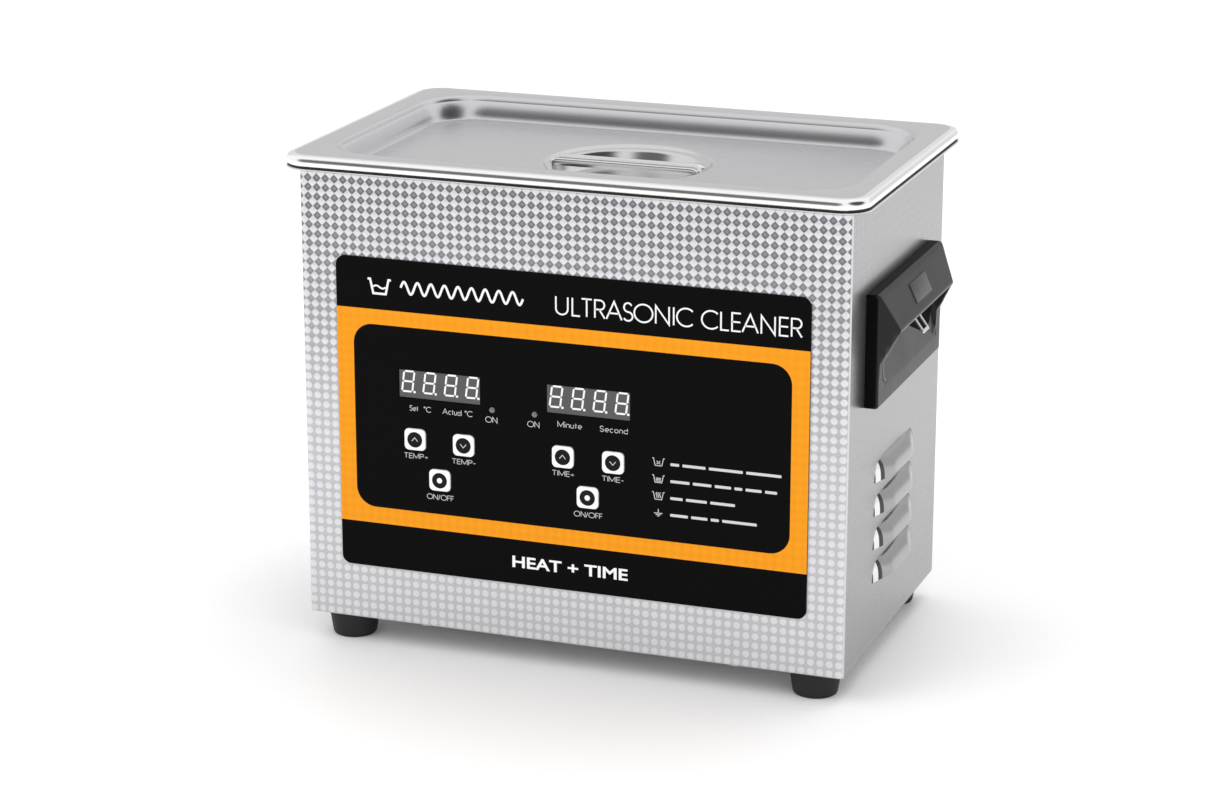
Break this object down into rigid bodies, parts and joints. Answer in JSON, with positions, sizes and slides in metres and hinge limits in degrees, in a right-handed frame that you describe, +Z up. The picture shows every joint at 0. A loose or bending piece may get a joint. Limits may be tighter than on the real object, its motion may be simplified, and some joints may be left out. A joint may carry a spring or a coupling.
{
  "type": "bench ultrasonic cleaner",
  "caption": "Bench ultrasonic cleaner: box housing on rubber feet, lift-off pan lid, tank with basket, front label with displays and keys, side handles, louvres, rear fan and mains entry.",
  "frame": {"origin": "centre of the bounding box, on the floor under the feet", "axes": "+X right and -Y front as seen by the user, +Z up"},
  "size_m": [0.2768, 0.165, 0.2235],
  "materials": {
    "housing_steel": "embossed stainless sheet",
    "satin_steel": "satin stainless",
    "polished_steel": "polished",
    "zinc_steel": "zinc plated",
    "aluminium": "turned and extruded",
    "brass": "plain",
    "rubber": "matte",
    "label_film": "printed film",
    "key_plastic": "printed keycap",
    "display_plastic": "smoked window",
    "lamp_plastic": "diffusing dome",
    "handle_plastic": "satin moulding",
    "black_plastic": "moulded",
    "fuse_glass": "clear",
    "ceramic": "fired",
    "board": "solder mask",
    "silicone": "heater mat",
    "copper": "varnished winding"
  },
  "bodies": {
    "housing": {"housing_shell": "housing_steel", "rear_panel": "housing_steel", "tank": "satin_steel", "handle_clip_left": "polished_steel", "handle_clip_right": "polished_steel", "fan_guard": "polished_steel", "base_plate": "zinc_steel", "foot_screw_front_left": "zinc_steel", "foot_screw_front_right": "zinc_steel", "foot_screw_rear_left": "zinc_steel", "foot_screw_rear_right": "zinc_steel", "transducer_back_mass_left": "zinc_steel", "transducer_back_mass_right": "zinc_steel", "transducer_bolt_left": "zinc_steel", "transducer_bolt_right": "zinc_steel", "transducer_front_mass_left": "aluminium", "transducer_front_mass_right": "aluminium", "heat_sink": "aluminium", "earth_stud": "brass", "tank_seal": "rubber", "foot_front_left": "rubber", "foot_front_right": "rubber", "foot_rear_left": "rubber", "foot_rear_right": "rubber", "overlay_panel": "label_film", "temperature_display": "display_plastic", "timer_display": "display_plastic", "relay": "display_plastic", "ribbon_cable": "display_plastic", "heat_lamp": "lamp_plastic", "sonic_lamp": "lamp_plastic", "handle_left": "handle_plastic", "handle_right": "handle_plastic", "mains_inlet": "black_plastic", "switch_body": "black_plastic", "fan_frame": "black_plastic", "filter_capacitor": "black_plastic", "transducer_piezo_left": "ceramic", "transducer_piezo_right": "ceramic", "display_board": "board", "generator_board": "board", "heater_pad": "silicone", "output_transformer": "copper", "temperature_sensor": "copper"},
    "basket": {"basket_body": "satin_steel", "basket_handle_left": "polished_steel", "basket_handle_right": "polished_steel"},
    "lid": {"lid_pan": "satin_steel", "lid_handle_bar": "polished_steel"},
    "fuse_carrier": {"fuse_drawer": "black_plastic", "fuse": "fuse_glass"},
    "rocker": {"switch_rocker": "black_plastic"},
    "rotor": {"fan_rotor": "black_plastic"},
    "key_temp_up": {"key_temp_up": "key_plastic"},
    "key_temp_down": {"key_temp_down": "key_plastic"},
    "key_heat_power": {"key_heat_power": "key_plastic"},
    "key_time_up": {"key_time_up": "key_plastic"},
    "key_time_down": {"key_time_down": "key_plastic"},
    "key_sonic_power": {"key_sonic_power": "key_plastic"}
  },
  "joints": [
    {"name": "basket_lift", "type": "slide", "parent": "housing", "child": "basket", "axis": [0, 0, 1], "range_m": [0, 0.13]},
    {"name": "lid_lift", "type": "slide", "parent": "basket", "child": "lid", "axis": [0, 0, 1], "range_m": [0, 0.12]},
    {"name": "fuse_drawer_slide", "type": "slide", "parent": "housing", "child": "fuse_carrier", "axis": [0, 1, 0], "range_m": [0, 0.02]},
    {"name": "rocker_tilt", "type": "hinge", "parent": "housing", "child": "rocker", "pos_m": [-0.07, 0.0736, 0.092], "axis": [-1, 0, 0], "range_deg": [0, 24]},
    {"name": "fan_spin", "type": "hinge", "parent": "housing", "child": "rotor", "pos_m": [0.072, 0.063, 0.066], "axis": [0, 1, 0], "continuous": true},
    {"name": "key_temp_up_press", "type": "slide", "parent": "housing", "child": "key_temp_up", "axis": [0, 1, 0], "range_m": [0, 0.0004], "stiffness_N_per_m": 300},
    {"name": "key_temp_down_press", "type": "slide", "parent": "housing", "child": "key_temp_down", "axis": [0, 1, 0], "range_m": [0, 0.0004], "stiffness_N_per_m": 300},
    {"name": "key_heat_power_press", "type": "slide", "parent": "housing", "child": "key_heat_power", "axis": [0, 1, 0], "range_m": [0, 0.0004], "stiffness_N_per_m": 300},
    {"name": "key_time_up_press", "type": "slide", "parent": "housing", "child": "key_time_up", "axis": [0, 1, 0], "range_m": [0, 0.0004], "stiffness_N_per_m": 300},
    {"name": "key_time_down_press", "type": "slide", "parent": "housing", "child": "key_time_down", "axis": [0, 1, 0], "range_m": [0, 0.0004], "stiffness_N_per_m": 300},
    {"name": "key_sonic_power_press", "type": "slide", "parent": "housing", "child": "key_sonic_power", "axis": [0, 1, 0], "range_m": [0, 0.0004], "stiffness_N_per_m": 300}
  ]
}
